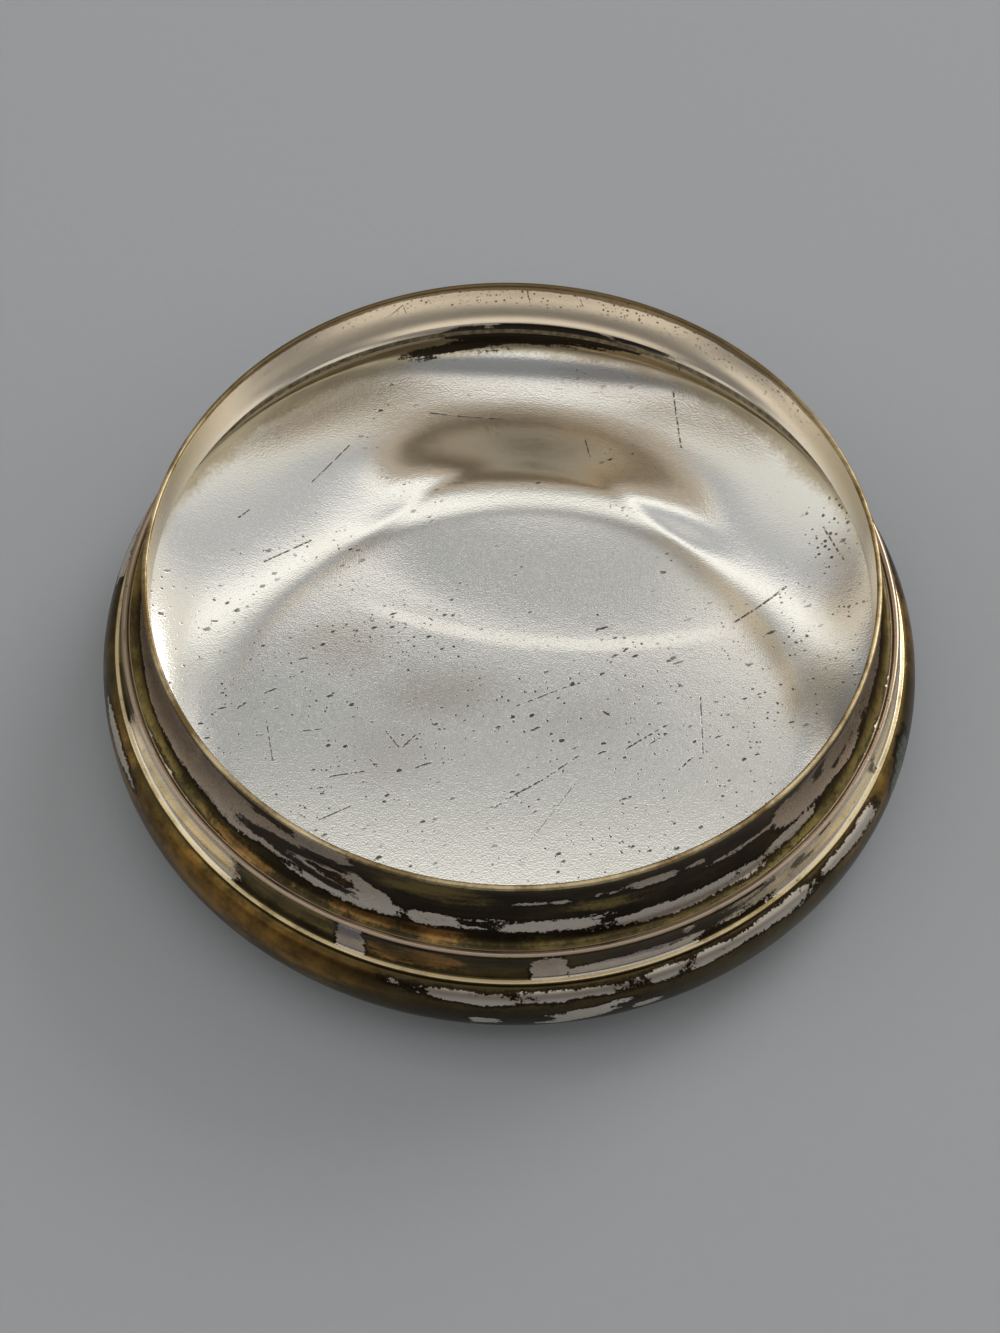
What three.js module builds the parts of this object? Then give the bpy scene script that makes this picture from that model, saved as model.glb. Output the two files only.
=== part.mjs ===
// The metal lid of a dresser jar, turned over and lying on its top, so that it stands open side up
// like a shallow dish. It is silver-plated sheet brass in two pieces: a drawn shell, whose panel is
// the lid's top and whose bulging side is the lid's edge, and a spun collar, whose flange lies on the
// shell's turned-in lip. A film of soft solder between flange and lip, with a fillet inside the
// corner, holds the two together. The panel is dented, as old thin sheet is.
//
// Millimetres, +Z up. The origin is the centre of the panel's flat side, on which the lid lies.

import * as THREE from "three";

// Sheet and solder
const SHEET = 0.6; // thickness of the brass, both pieces
const SOLDER_FILM = 0.15; // thickness of the solder between flange and lip
const SOLDER_STEPS = 2; // facets of the band, counted up from the flange, that the fillet wets
const SOLDER_SPREAD = 0.1; // how far the fillet runs out over the lip beyond its top

// Collar, from the rim down. Each reach is how far the outside moves out over that stretch
const COLLAR_RADIUS = 40; // outside, at the rim
const UPRIGHT_HEIGHT = 1.5; // straight wall below the rim
const COVE_HEIGHT = 7.25; // hollow sweep from the wall down to the ridge
const COVE_REACH = 2.7;
const RIDGE_RADIUS = 0.45; // half-round ridge at the foot of the cove
const BAND_HEIGHT = 3.35; // steep hollow band from the ridge down to the flange
const BAND_REACH = 0.75;
const FLANGE_WIDTH = 0.5; // flat edge that lies on the shell

// Shell, from the seam down
const SEAT_WIDTH = 0.3; // flat part of the shell under the flange
const LIP_WIDTH = 0.8; // turned-in lip, from the seat inwards
const BULGE_HEIGHT = 11.55; // from the panel's flat side up to the lip
const BULGE_REACH = 2; // how far the widest part stands out past the flange
const WIDEST_HEIGHT = 7; // where the shell is widest
const TUCK = 12.5; // how far the bulge turns in below its widest part
const ROUNDNESS = 2; // power of the curve below the widest part, where 2 is an ellipse

// Fold across the panel's far half: a gentle flank rises from a bowed foot to the crest, and a
// steeper one falls to the panel's edge
const FOLD_HEIGHT = 0.7;
const FOLD_CREST = 29; // from the middle of the lid
const FOLD_LEAN = -0.09; // slope of the crest line, as seen from above
const FOLD_FOOT = 4.4; // where the flank starts, at the middle of the foot's bow
const FOLD_BOW_MIDDLE = 11;
const FOLD_BOW = 0.0115; // per millimetre, how sharply the foot bows away
const FOLD_LEFT = -24; // where the fold starts on the left, and how it fades in
const FOLD_LEFT_FADE = 17;
const FOLD_RIGHT = 36; // where it ends on the right
const FOLD_RIGHT_FADE = 20;
const FOLD_FALL = 11; // width of the flank that falls to the panel's edge
const FOLD_MARGIN = 6.85; // how far short of the widest part it has died out

// Stretches where the panel's edge is sprung up, so that the bulge turns in further: middle and spread
// are in degrees, width is what the middle adds to the tuck, and slack is what it takes from the roundness
const SPRUNG_EDGES = [
  { middle: 135, spread: 70, width: 8, slack: 0.7 },
  { middle: 90, spread: 60, width: 1, slack: 0.2 },
  { middle: 45, spread: 60, width: 6, slack: 0.7 },
];

// Facets
const AROUND = 72;
const CURVE_STEPS = 6; // facets along each quarter round
const PANEL_RINGS = 12;

const QUARTER = Math.PI / 2;

// Heights and radii that follow from the driving dimensions
const lipZ = BULGE_HEIGHT;
const seamZ = lipZ + SOLDER_FILM;
const flangeZ = seamZ + SHEET;
const ridgeZ = flangeZ + BAND_HEIGHT;
const coveZ = ridgeZ + COVE_HEIGHT;
const rimZ = coveZ + UPRIGHT_HEIGHT;
const grooveRadius = COLLAR_RADIUS + COVE_REACH;
const bandRadius = grooveRadius + 2 * RIDGE_RADIUS;
const flangeInner = bandRadius + BAND_REACH;
const flangeOuter = flangeInner + FLANGE_WIDTH;
const seatOuter = flangeInner + SEAT_WIDTH;
const lipInner = flangeInner - LIP_WIDTH;
const widestRadius = flangeOuter + BULGE_REACH;
const footRadius = widestRadius - TUCK;

// Finishes
const collarPlate = new THREE.MeshStandardMaterial({ color: 0xb9aa94, roughness: 0.28, metalness: 1 });
const shellPlate = new THREE.MeshStandardMaterial({ color: 0xd2cdc0, roughness: 0.3, metalness: 1 });
const softSolder = new THREE.MeshStandardMaterial({ color: 0x6f6a5f, roughness: 0.45, metalness: 1 });

// A closed outline, turned about the upright axis
function turned(outline) {
  const geometry = new THREE.LatheGeometry(outline, AROUND);
  geometry.rotateX(QUARTER);
  return geometry;
}

function named(name, geometry, material) {
  const mesh = new THREE.Mesh(geometry, material);
  mesh.name = name;
  return mesh;
}

// Rises from 0 to 1 as t does, level at both ends
function ease(t) {
  const u = Math.min(1, Math.max(0, t));
  return u * u * (3 - 2 * u);
}

function fold(x, y) {
  const foot = FOLD_FOOT + FOLD_BOW * (x - FOLD_BOW_MIDDLE) ** 2;
  const crest = FOLD_CREST + FOLD_LEAN * x;
  const rise = ease((y - foot) / (crest - foot));
  const fall = ease((widestRadius - FOLD_MARGIN - Math.hypot(x, y)) / FOLD_FALL);
  const along = ease((x - FOLD_LEFT) / FOLD_LEFT_FADE) * ease((FOLD_RIGHT - x) / FOLD_RIGHT_FADE);
  return FOLD_HEIGHT * rise * fall * along;
}

// How far the bulge turns in at this place, and how round its curve is
function edgeAt(x, y) {
  let tuck = TUCK;
  let roundness = ROUNDNESS;
  for (const edge of SPRUNG_EDGES) {
    const turn = THREE.MathUtils.radToDeg(Math.atan2(y, x)) - edge.middle;
    const away = Math.abs(THREE.MathUtils.euclideanModulo(turn + 180, 360) - 180);
    const share = ease(1 - away / edge.spread);
    tuck += edge.width * share;
    roundness -= edge.slack * share;
  }
  return { tuck, roundness };
}

// Height of the dented panel and the lower half of the bulge, on a face that lies inside the outer one
function panelHeight(x, y, depth) {
  const { tuck, roundness } = edgeAt(x, y);
  const inward = Math.hypot(x, y) - widestRadius + tuck;
  const share = Math.min(1, Math.max(0, inward / (tuck - depth)));
  const rise = 1 - (1 - share ** roundness) ** (1 / roundness);
  return depth + (WIDEST_HEIGHT - depth) * rise + fold(x, y);
}

// Point on the inside of the collar's band, a number of facets up from the flange
function bandInside(facet) {
  const angle = 3 * QUARTER - (facet * QUARTER) / CURVE_STEPS;
  const x = flangeInner + (BAND_REACH + SHEET) * Math.cos(angle);
  const y = ridgeZ - SHEET + BAND_HEIGHT * Math.sin(angle);
  return new THREE.Vector2(x, y);
}

// Radii of the lower half of the bulge, from the flat up to its widest part
function tuckRadii(depth) {
  const radii = [];
  for (let step = 0; step <= CURVE_STEPS; step++) {
    radii.push(footRadius + (TUCK - depth) * Math.sin((step * QUARTER) / CURVE_STEPS));
  }
  return radii;
}

// Upper half of the bulge, from its widest part to the seat
function shoulder(depth) {
  const reach = widestRadius - seatOuter - depth;
  const height = lipZ - WIDEST_HEIGHT - depth;
  const path = new THREE.Path();
  path.absellipse(seatOuter, WIDEST_HEIGHT, reach, height, 0, QUARTER, false);
  return path.getPoints(CURVE_STEPS / 2);
}

// One face of the shell, from its middle out under the panel, round the bulge and in to the lip's edge.
// The panel and the lower half of the bulge are left flat
function shellFace(depth) {
  const radii = tuckRadii(depth).slice(0, -1);
  for (let ring = PANEL_RINGS - 1; ring >= 0; ring--) radii.unshift((footRadius * ring) / PANEL_RINGS);
  const face = radii.map((radius) => new THREE.Vector2(radius, depth));
  face.push(...shoulder(depth));
  face.push(new THREE.Vector2(lipInner, lipZ - depth));
  return face;
}

// Drawn shell: the outer face, then the inner face back to the middle, each raised to its own height
function shellGeometry() {
  const outer = shellFace(0);
  const inner = shellFace(SHEET).reverse();
  const geometry = turned([...outer, ...inner]);
  const points = geometry.getAttribute("position");
  for (let i = 0; i < points.count; i++) {
    const depth = i % (outer.length + inner.length) < outer.length ? 0 : SHEET;
    if (points.getZ(i) > (WIDEST_HEIGHT + SHEET) / 2) continue;
    points.setZ(i, panelHeight(points.getX(i), points.getY(i), depth));
  }
  return geometry;
}

// Spun collar: up the outside from the flange to the rim, and down the inside
function collarGeometry() {
  const coveInsideReach = COVE_REACH + SHEET;
  const coveInsideHeight = COVE_HEIGHT + SHEET;
  const path = new THREE.Path();
  path.moveTo(flangeOuter, seamZ);
  path.lineTo(flangeOuter, flangeZ);
  path.lineTo(flangeInner, flangeZ);
  path.absellipse(flangeInner, ridgeZ, BAND_REACH, BAND_HEIGHT, 3 * QUARTER, 2 * QUARTER, true);
  path.absarc(grooveRadius + RIDGE_RADIUS, ridgeZ, RIDGE_RADIUS, 0, 2 * QUARTER, false);
  path.absellipse(grooveRadius, coveZ, COVE_REACH, COVE_HEIGHT, 3 * QUARTER, 2 * QUARTER, true);
  path.lineTo(COLLAR_RADIUS, rimZ);
  path.lineTo(COLLAR_RADIUS - SHEET, rimZ);
  path.lineTo(COLLAR_RADIUS - SHEET, coveZ);
  path.absellipse(grooveRadius, coveZ, coveInsideReach, coveInsideHeight, 2 * QUARTER, 3 * QUARTER, false);
  const outline = path.getPoints(CURVE_STEPS / 2);
  for (let facet = CURVE_STEPS; facet >= 0; facet--) outline.push(bandInside(facet));
  outline.push(outline[0].clone());
  return turned(outline);
}

// Solder: the film on the seat, then the fillet up the inside of the band and down to the lip
function solderGeometry() {
  const outline = [new THREE.Vector2(seatOuter, lipZ), new THREE.Vector2(seatOuter, seamZ)];
  for (let facet = 0; facet <= SOLDER_STEPS; facet++) outline.push(bandInside(facet));
  outline.push(new THREE.Vector2(outline.at(-1).x - SOLDER_SPREAD, lipZ));
  outline.push(outline[0].clone());
  return turned(outline);
}

const lid = new THREE.Group();
lid.add(named("dome_shell", shellGeometry(), shellPlate));
lid.add(named("collar_ring", collarGeometry(), collarPlate));
lid.add(named("solder_seam", solderGeometry(), softSolder));

export default lid;
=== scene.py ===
"""Looks of a dresser jar's silver-plated brass lid, lying on its top with the open side up.

Two spun sheets and the solder between them are turned from their outlines, the panel is dented, and each
sheet carries worn plate, bare brass, soot and stains. Lengths in this script are millimetres unless a
comment says otherwise. Places on the lid are given by turn, the degrees round it as seen from above,
clockwise from the right (90 is nearest the camera), and by station, the distance along the sheet from the
edge where its two faces meet, more than 0 on the outside and less than 0 on the inside.
"""

import math

import bmesh
import bpy
import numpy as np
from mathutils import Matrix, Vector


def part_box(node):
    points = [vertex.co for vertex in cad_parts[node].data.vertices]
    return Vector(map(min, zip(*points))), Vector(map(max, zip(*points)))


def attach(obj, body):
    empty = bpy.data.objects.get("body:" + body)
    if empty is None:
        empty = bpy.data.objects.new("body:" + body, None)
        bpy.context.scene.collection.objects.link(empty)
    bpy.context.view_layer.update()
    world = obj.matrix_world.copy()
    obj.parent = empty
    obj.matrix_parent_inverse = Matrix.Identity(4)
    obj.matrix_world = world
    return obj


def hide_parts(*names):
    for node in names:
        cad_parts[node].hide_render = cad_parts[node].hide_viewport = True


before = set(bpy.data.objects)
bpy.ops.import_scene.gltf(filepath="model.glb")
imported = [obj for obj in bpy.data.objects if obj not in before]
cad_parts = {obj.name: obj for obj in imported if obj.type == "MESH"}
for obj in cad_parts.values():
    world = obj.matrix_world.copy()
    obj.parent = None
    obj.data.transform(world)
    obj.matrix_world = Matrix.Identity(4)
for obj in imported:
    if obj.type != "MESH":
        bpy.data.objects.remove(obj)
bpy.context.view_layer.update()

MM = 0.001

# Sizes that the frame gives
shell_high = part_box("dome_shell")[1]
collar_low, collar_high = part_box("collar_ring")
solder_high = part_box("solder_seam")[1]
WIDEST_RADIUS = shell_high.x / MM
LIP_TOP = shell_high.z / MM
FLANGE_RADIUS = collar_high.x / MM
SEAM_TOP = collar_low.z / MM
RIM_TOP = collar_high.z / MM
SEAT_RADIUS = solder_high.x / MM

# Sheet and collar
SHEET = 0.6
COLLAR_RADIUS = 40.0
COVE_HEIGHT = 7.25
COVE_REACH = 2.7
RIDGE_RADIUS = 0.45
BAND_HEIGHT = 3.35
BAND_REACH = 0.75
FLANGE_WIDTH = 0.5
LIP_WIDTH = 0.8

# Rounded edges of the rim and the flange
RIM_ROUND = 0.22
EDGE_ROUND = 0.2

# Solder: degrees of the band's quarter round that its fillet climbs, its spread over the lip, and the radius
# of the last point of its underside
SOLDER_CLIMB = 30
SOLDER_SPREAD = 0.1
SOLDER_END = 44.0

# Shell
WIDEST_HEIGHT = 7.0
TUCK = 12.5
ROUNDNESS = 2.0

# Places that follow from these sizes
FOOT_RADIUS = WIDEST_RADIUS - TUCK
FLANGE_TOP = SEAM_TOP + SHEET
RIDGE_Z = FLANGE_TOP + BAND_HEIGHT
COVE_Z = RIDGE_Z + COVE_HEIGHT
GROOVE_RADIUS = COLLAR_RADIUS + COVE_REACH
FLANGE_INNER = FLANGE_RADIUS - FLANGE_WIDTH
LIP_INNER = FLANGE_INNER - LIP_WIDTH
INNER_WALL = COLLAR_RADIUS - SHEET

# Steps of the fine meshes: round the lid, along the outlines and along their small rounds
AROUND = 384
FINE = 0.24
LEAST_STEPS = 4
RIM_STEP = 0.07
RIDGE_STEP = 0.08
EDGE_STEP = 0.06
LIP_STEP = 0.12
TUCK_STEPS = 46
PANEL_STEPS = 54

# Gaps that count as none in an outline, a height and a mesh, and the angle from which an edge stays sharp
SAME_POINT = 1e-6
SAME_HEIGHT = 0.0001
MERGE = 0.001
SHARP_DEGREES = 50


# Outlines

def arc(centre, radii, start, end, step=FINE):
    """Points along an elliptic arc between two angles in degrees, about a step apart."""
    count = max(LEAST_STEPS, math.ceil(math.radians(abs(end - start)) * max(radii) / step))
    angles = np.radians(np.linspace(start, end, count + 1))
    return np.stack([centre[0] + radii[0] * np.cos(angles), centre[1] + radii[1] * np.sin(angles)], 1)


def bend(centre, radius, start, end, step):
    """Points along a small round."""
    return arc(centre, (radius, radius), start, end, step)


def straight(start, end, step=FINE):
    count = max(1, math.ceil(math.dist(start, end) / step))
    return np.linspace(start, end, count + 1)


def lengths(points):
    """Length of the line from its first point to each point."""
    return np.concatenate([[0.0], np.cumsum(np.hypot(*np.diff(points, axis=0).T))])


def joined(*stretches):
    """One line of the stretches, without doubled points where they meet."""
    points = np.concatenate(stretches)
    gaps = np.hypot(*np.diff(points, axis=0).T)
    return points[np.concatenate([[True], gaps > SAME_POINT])]


def collar_outlines():
    """Outside of the collar from the rim's crest down, and its inside from the crest down."""
    crest = (COLLAR_RADIUS - SHEET / 2, RIM_TOP)
    rim_z = RIM_TOP - RIM_ROUND
    edge_radius = FLANGE_RADIUS - EDGE_ROUND
    outside = joined(
        [crest],
        bend((COLLAR_RADIUS - RIM_ROUND, rim_z), RIM_ROUND, 90, 0, RIM_STEP),
        straight((COLLAR_RADIUS, rim_z), (COLLAR_RADIUS, COVE_Z)),
        arc((GROOVE_RADIUS, COVE_Z), (COVE_REACH, COVE_HEIGHT), 180, 270),
        bend((GROOVE_RADIUS + RIDGE_RADIUS, RIDGE_Z), RIDGE_RADIUS, 180, 0, RIDGE_STEP),
        arc((FLANGE_INNER, RIDGE_Z), (BAND_REACH, BAND_HEIGHT), 180, 270),
        bend((edge_radius, FLANGE_TOP - EDGE_ROUND), EDGE_ROUND, 90, 0, EDGE_STEP),
        bend((edge_radius, SEAM_TOP + EDGE_ROUND), EDGE_ROUND, 0, -90, EDGE_STEP),
    )
    inside = joined(
        [crest],
        bend((INNER_WALL + RIM_ROUND, rim_z), RIM_ROUND, 90, 180, RIM_STEP),
        straight((INNER_WALL, rim_z), (INNER_WALL, COVE_Z)),
        arc((GROOVE_RADIUS, COVE_Z), (COVE_REACH + SHEET, COVE_HEIGHT + SHEET), 180, 270),
        arc((FLANGE_INNER, RIDGE_Z - SHEET), (BAND_REACH + SHEET, BAND_HEIGHT), 180, 270),
    )
    return outside, inside


def under_bulge(depth):
    """Lower half of the bulge and the panel, before it is dented, on a face this deep in the sheet."""
    angles = np.radians(np.linspace(0, 90, TUCK_STEPS + 1))
    flat = np.linspace(FOOT_RADIUS, 0, PANEL_STEPS + 1)
    radii = np.concatenate([FOOT_RADIUS + (TUCK - depth) * np.cos(angles[:-1]), flat])
    share = np.clip((radii - FOOT_RADIUS) / (TUCK - depth), 0, 1)
    heights = depth + (WIDEST_HEIGHT - depth) * (1 - np.sqrt(1 - share ** 2))
    return np.stack([radii, heights], 1)


def shell_outlines():
    """Outside of the shell from the lip's edge over the bulge to the middle, and its inside likewise."""
    def shoulder(depth):
        reach = WIDEST_RADIUS - SEAT_RADIUS - depth
        rise = LIP_TOP - WIDEST_HEIGHT - depth
        return arc((SEAT_RADIUS, WIDEST_HEIGHT), (reach, rise), 90, 0)

    half = SHEET / 2
    edge = LIP_INNER + half
    outside = joined(
        bend((edge, LIP_TOP - half), half, 180, 90, LIP_STEP),
        straight((edge, LIP_TOP), (SEAT_RADIUS, LIP_TOP)),
        shoulder(0.0),
        under_bulge(0.0),
    )
    inside = joined(
        bend((edge, LIP_TOP - half), half, 180, 270, LIP_STEP),
        straight((edge, LIP_TOP - SHEET), (SEAT_RADIUS, LIP_TOP - SHEET)),
        shoulder(SHEET),
        under_bulge(SHEET),
    )
    return outside, inside


def both_faces(outside, inside):
    """One line up the outside and down the inside of a sheet, and the station of each of its points."""
    outline = np.concatenate([outside[::-1], inside[1:]])
    station = np.concatenate([lengths(outside)[::-1], -lengths(inside)[1:]])
    return outline, station


def solder_outline():
    """Film on the seat, and the fillet up the inside of the band, closed along the lip."""
    film = [(SEAT_RADIUS, LIP_TOP), (SEAT_RADIUS, SEAM_TOP)]
    band_centre = (FLANGE_INNER, RIDGE_Z - SHEET)
    band = arc(band_centre, (BAND_REACH + SHEET, BAND_HEIGHT), 270, 270 - SOLDER_CLIMB)
    foot = (band[-1][0] - SOLDER_SPREAD, LIP_TOP)
    return joined(film, band, straight(foot, (SOLDER_END, LIP_TOP)))


# Node trees

# Spread of the noise about nothing, and soft edges of specks and lines as shares of their reach
NOISE_SPREAD = 2.6
SPECK_EDGE = (1.25, 0.7)
LINE_EDGE = (1.2, 0.5)


class Recipe:
    """A node tree being put together. Each call adds a node and gives back the socket with its result."""

    def __init__(self, tree):
        self.tree = tree

    def node(self, kind, *inputs, **settings):
        made = self.tree.nodes.new(kind)
        for name, value in settings.items():
            setattr(made, name, value)
        for socket, value in inputs:
            self.plug(made.inputs[socket], value)
        return made

    def plug(self, socket, value):
        if isinstance(value, bpy.types.NodeSocket):
            self.tree.links.new(value, socket)
        else:
            socket.default_value = value

    def maths(self, operation, *values):
        return self.node("ShaderNodeMath", *enumerate(values), operation=operation).outputs[0]

    def chain(self, operation, values):
        result = values[0]
        for value in values[1:]:
            result = self.maths(operation, result, value)
        return result

    def add(self, *values):
        return self.chain("ADD", values)

    def times(self, *values):
        return self.chain("MULTIPLY", values)

    def most(self, *values):
        return self.chain("MAXIMUM", values)

    def weighed(self, *terms):
        """Sum of values that are each given with a weight."""
        return self.add(*[self.times(value, weight) for value, weight in terms])

    def less(self, value):
        """What is left of 1."""
        return self.maths("SUBTRACT", 1.0, value)

    def line(self, value, slope, start):
        """Straight line over a value, through start at 0."""
        return self.maths("MULTIPLY_ADD", value, slope, start)

    def rise(self, value, low, high):
        """0 at low, 1 at high, and smooth between; high may be the lower one."""
        return self.node(
            "ShaderNodeMapRange",
            ("Value", value),
            ("From Min", low),
            ("From Max", high),
            interpolation_type="SMOOTHSTEP",
        ).outputs[0]

    def between(self, value, low, high, soft):
        """1 from low to high, with soft ends."""
        rising = self.rise(value, low - soft, low + soft)
        falling = self.rise(value, high + soft, high - soft)
        return self.times(rising, falling)

    def vector(self, operation, *values):
        made = self.node("ShaderNodeVectorMath", *enumerate(values), operation=operation)
        return made.outputs["Value" if operation in ("DOT_PRODUCT", "LENGTH", "DISTANCE") else "Vector"]

    def scaled(self, vector, factor):
        made = self.node("ShaderNodeVectorMath", (0, vector), ("Scale", factor), operation="SCALE")
        return made.outputs["Vector"]

    def parts(self, vector):
        return self.node("ShaderNodeSeparateXYZ", (0, vector)).outputs

    def point(self, x, y, z):
        return self.node("ShaderNodeCombineXYZ", (0, x), (1, y), (2, z)).outputs[0]

    def blend(self, share, under, over, strength=None):
        """One colour over another on a share of it, as strongly as told."""
        if strength is not None:
            share = self.times(share, strength)
        made = self.node("ShaderNodeMix", data_type="RGBA")
        for socket, value in ((0, share), (6, under), (7, over)):
            opaque = isinstance(value, tuple) and len(value) == 3
            self.plug(made.inputs[socket], (*value, 1.0) if opaque else value)
        return made.outputs[2]

    def cloud(self, vector, scale, detail=3.0, roughness=0.55):
        """Noise from about -1 to 1."""
        made = self.node(
            "ShaderNodeTexNoise",
            ("Vector", vector),
            ("Scale", scale),
            ("Detail", detail),
            ("Roughness", roughness),
        )
        return self.line(made.outputs[0], NOISE_SPREAD, -NOISE_SPREAD / 2)

    def field(self, name):
        return self.node("ShaderNodeAttribute", attribute_name=name).outputs["Fac"]

    def place(self):
        """Object coordinates in millimetres."""
        return self.scaled(self.node("ShaderNodeTexCoord").outputs["Object"], 1 / MM)

    def ring_place(self, place, stretch, slant=0.8):
        """Coordinates that are drawn out along the ring by a factor, for streaks that run round the lid."""
        x, y, z = self.parts(place)
        flat = self.point(x, y, 0.0)
        radius = self.vector("LENGTH", flat)
        round_lid = self.scaled(self.vector("NORMALIZE", flat), COLLAR_RADIUS / stretch)
        rx, ry, _ = self.parts(round_lid)
        return self.point(rx, ry, self.add(z, self.times(radius, slant)))

    def drawn_out(self, plan, degrees, stretch):
        """Plan coordinates drawn out along one direction, for dashes."""
        run = math.cos(math.radians(degrees))
        climb = math.sin(math.radians(degrees))
        along = self.vector("DOT_PRODUCT", plan, (run / stretch, climb / stretch, 0.0))
        across = self.vector("DOT_PRODUCT", plan, (-climb, run, 0.0))
        return self.point(along, across, 0.0)

    def pits(self, plan, scale, least, most, share):
        """Dark specks, one to a cell at most, on this share of the cells, with reaches in cells."""
        cells = self.node("ShaderNodeTexVoronoi", ("Vector", plan), ("Scale", scale))
        red, green, _ = self.node("ShaderNodeSeparateColor", (0, cells.outputs["Color"])).outputs
        reach = self.line(red, most - least, least)
        spot = self.rise(self.maths("DIVIDE", cells.outputs["Distance"], reach), *SPECK_EDGE)
        return self.times(spot, self.maths("LESS_THAN", green, share))

    def scratch(self, place, start, end, width):
        """A line between two places."""
        run = Vector(end) - Vector(start)
        off = self.vector("SUBTRACT", place, tuple(start))
        share = self.vector("DOT_PRODUCT", off, tuple(run / run.length_squared))
        held = self.node("ShaderNodeClamp", (0, share)).outputs[0]
        gap = self.vector("DISTANCE", off, self.scaled(tuple(run), held))
        return self.rise(gap, *[width * edge for edge in LINE_EDGE])

    def blot(self, plan, middle, reach):
        """Soft oval, 1 in its middle and 0 from its edge on."""
        off = self.vector("SUBTRACT", plan, (middle[0], middle[1], 0.0))
        shrunk = self.vector("MULTIPLY", off, (1 / reach[0], 1 / reach[1], 0.0))
        return self.rise(self.vector("LENGTH", shrunk), 1.0, 0.1)

    def bump(self, height):
        """Normal for a height in millimetres."""
        return self.node("ShaderNodeBump", ("Height", height), ("Distance", MM)).outputs[0]

    def metal(self, colour, roughness, normal):
        shader = self.tree.nodes["Principled BSDF"]
        self.plug(shader.inputs["Base Color"], colour)
        self.plug(shader.inputs["Roughness"], roughness)
        self.plug(shader.inputs["Normal"], normal)
        shader.inputs["Metallic"].default_value = 1.0


def new_finish(name):
    material = bpy.data.materials.new(name)
    material.use_nodes = True
    return material, Recipe(material.node_tree)


# Turning the outlines

def spun_sheet_tree():
    """Tree that turns an outline, given as a string of points, once round the upright axis."""
    tree = bpy.data.node_groups.new("spun_sheet", "GeometryNodeTree")
    inputs = {"Outline": "Geometry", "Steps around": "Int", "Closed": "Bool", "Finish": "Material"}
    for name, kind in inputs.items():
        tree.interface.new_socket(name, in_out="INPUT", socket_type="NodeSocket" + kind)
    tree.interface.new_socket("Sheet", in_out="OUTPUT", socket_type="NodeSocketGeometry")
    mix = Recipe(tree)
    node = mix.node
    maths = mix.maths

    given = node("NodeGroupInput").outputs
    size = node("GeometryNodeAttributeDomainSize", ("Geometry", given["Outline"]))
    count = size.outputs["Point Count"]
    columns = maths("ADD", maths("SUBTRACT", count, 1.0), given["Closed"])
    grid = node(
        "GeometryNodeMeshGrid",
        ("Size X", 1.0),
        ("Size Y", 1.0),
        ("Vertices X", maths("ADD", columns, 1.0)),
        ("Vertices Y", maths("ADD", given["Steps around"], 1.0)),
    )
    place = node("GeometryNodeInputPosition").outputs[0]
    on_grid = mix.parts(place)
    column = maths("ROUND", maths("MULTIPLY", maths("ADD", on_grid[0], 0.5), columns))
    index = maths("MODULO", column, count)
    def on_point(value, kind):
        """A value at the outline's point for this column."""
        return node(
            "GeometryNodeSampleIndex",
            ("Geometry", given["Outline"]),
            ("Value", value),
            ("Index", index),
            data_type=kind,
        ).outputs[0]

    on_outline = mix.parts(on_point(place, "FLOAT_VECTOR"))
    along = node("GeometryNodeInputNamedAttribute", ("Name", "station"), data_type="FLOAT")
    station = on_point(along.outputs[0], "FLOAT")
    angle = maths("MULTIPLY", maths("ADD", on_grid[1], 0.5), 2 * math.pi)
    turned = mix.point(
        maths("MULTIPLY", on_outline[0], maths("COSINE", angle)),
        maths("MULTIPLY", on_outline[0], maths("SINE", angle)),
        on_outline[2],
    )
    marked = node(
        "GeometryNodeStoreNamedAttribute",
        ("Geometry", grid.outputs["Mesh"]),
        ("Name", "station"),
        ("Value", station),
        data_type="FLOAT",
        domain="POINT",
    )
    set_place = node("GeometryNodeSetPosition", ("Geometry", marked.outputs[0]), ("Position", turned))
    merged = node(
        "GeometryNodeMergeByDistance",
        ("Geometry", set_place.outputs[0]),
        ("Distance", MERGE * MM),
    )
    smooth = node("GeometryNodeSetShadeSmooth", ("Geometry", merged.outputs[0]))
    real = node("GeometryNodeRealizeInstances", ("Geometry", smooth.outputs[0]))
    finished = node("GeometryNodeSetMaterial", ("Geometry", real.outputs[0]), ("Material", given["Finish"]))
    node("NodeGroupOutput", ("Sheet", finished.outputs[0]))
    return tree


def spun(name, tree, outline, station, closed, finish):
    """A piece turned from an outline, as a plain mesh that still carries each point's station."""
    count = len(outline)
    edges = [(i, i + 1) for i in range(count - 1)]
    string = bpy.data.meshes.new(name + "_outline")
    string.from_pydata([(r * MM, 0.0, z * MM) for r, z in outline], edges, [])
    set_field(string, "station", station)
    piece = bpy.data.objects.new(name, string)
    bpy.context.scene.collection.objects.link(piece)
    modifier = piece.modifiers.new("spin", "NODES")
    modifier.node_group = tree
    settings = {"Steps around": AROUND, "Closed": closed, "Finish": finish}
    for socket in tree.interface.items_tree:
        if socket.in_out == "INPUT" and socket.name in settings:
            modifier[socket.identifier] = settings[socket.name]
    graph = bpy.context.evaluated_depsgraph_get()
    made = bpy.data.meshes.new_from_object(
        piece.evaluated_get(graph), preserve_all_data_layers=True, depsgraph=graph
    )
    piece.modifiers.clear()
    piece.data = made
    made.name = name
    bpy.data.meshes.remove(string)
    face_outwards(made)
    made.set_sharp_from_angle(angle=math.radians(SHARP_DEGREES))
    return piece


def face_outwards(mesh):
    work = bmesh.new()
    work.from_mesh(mesh)
    bmesh.ops.recalc_face_normals(work, faces=work.faces)
    work.to_mesh(mesh)
    work.free()


def set_field(mesh, name, values):
    mesh.attributes.new(name, "FLOAT", "POINT").data.foreach_set("value", values.astype(np.float32))


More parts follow.
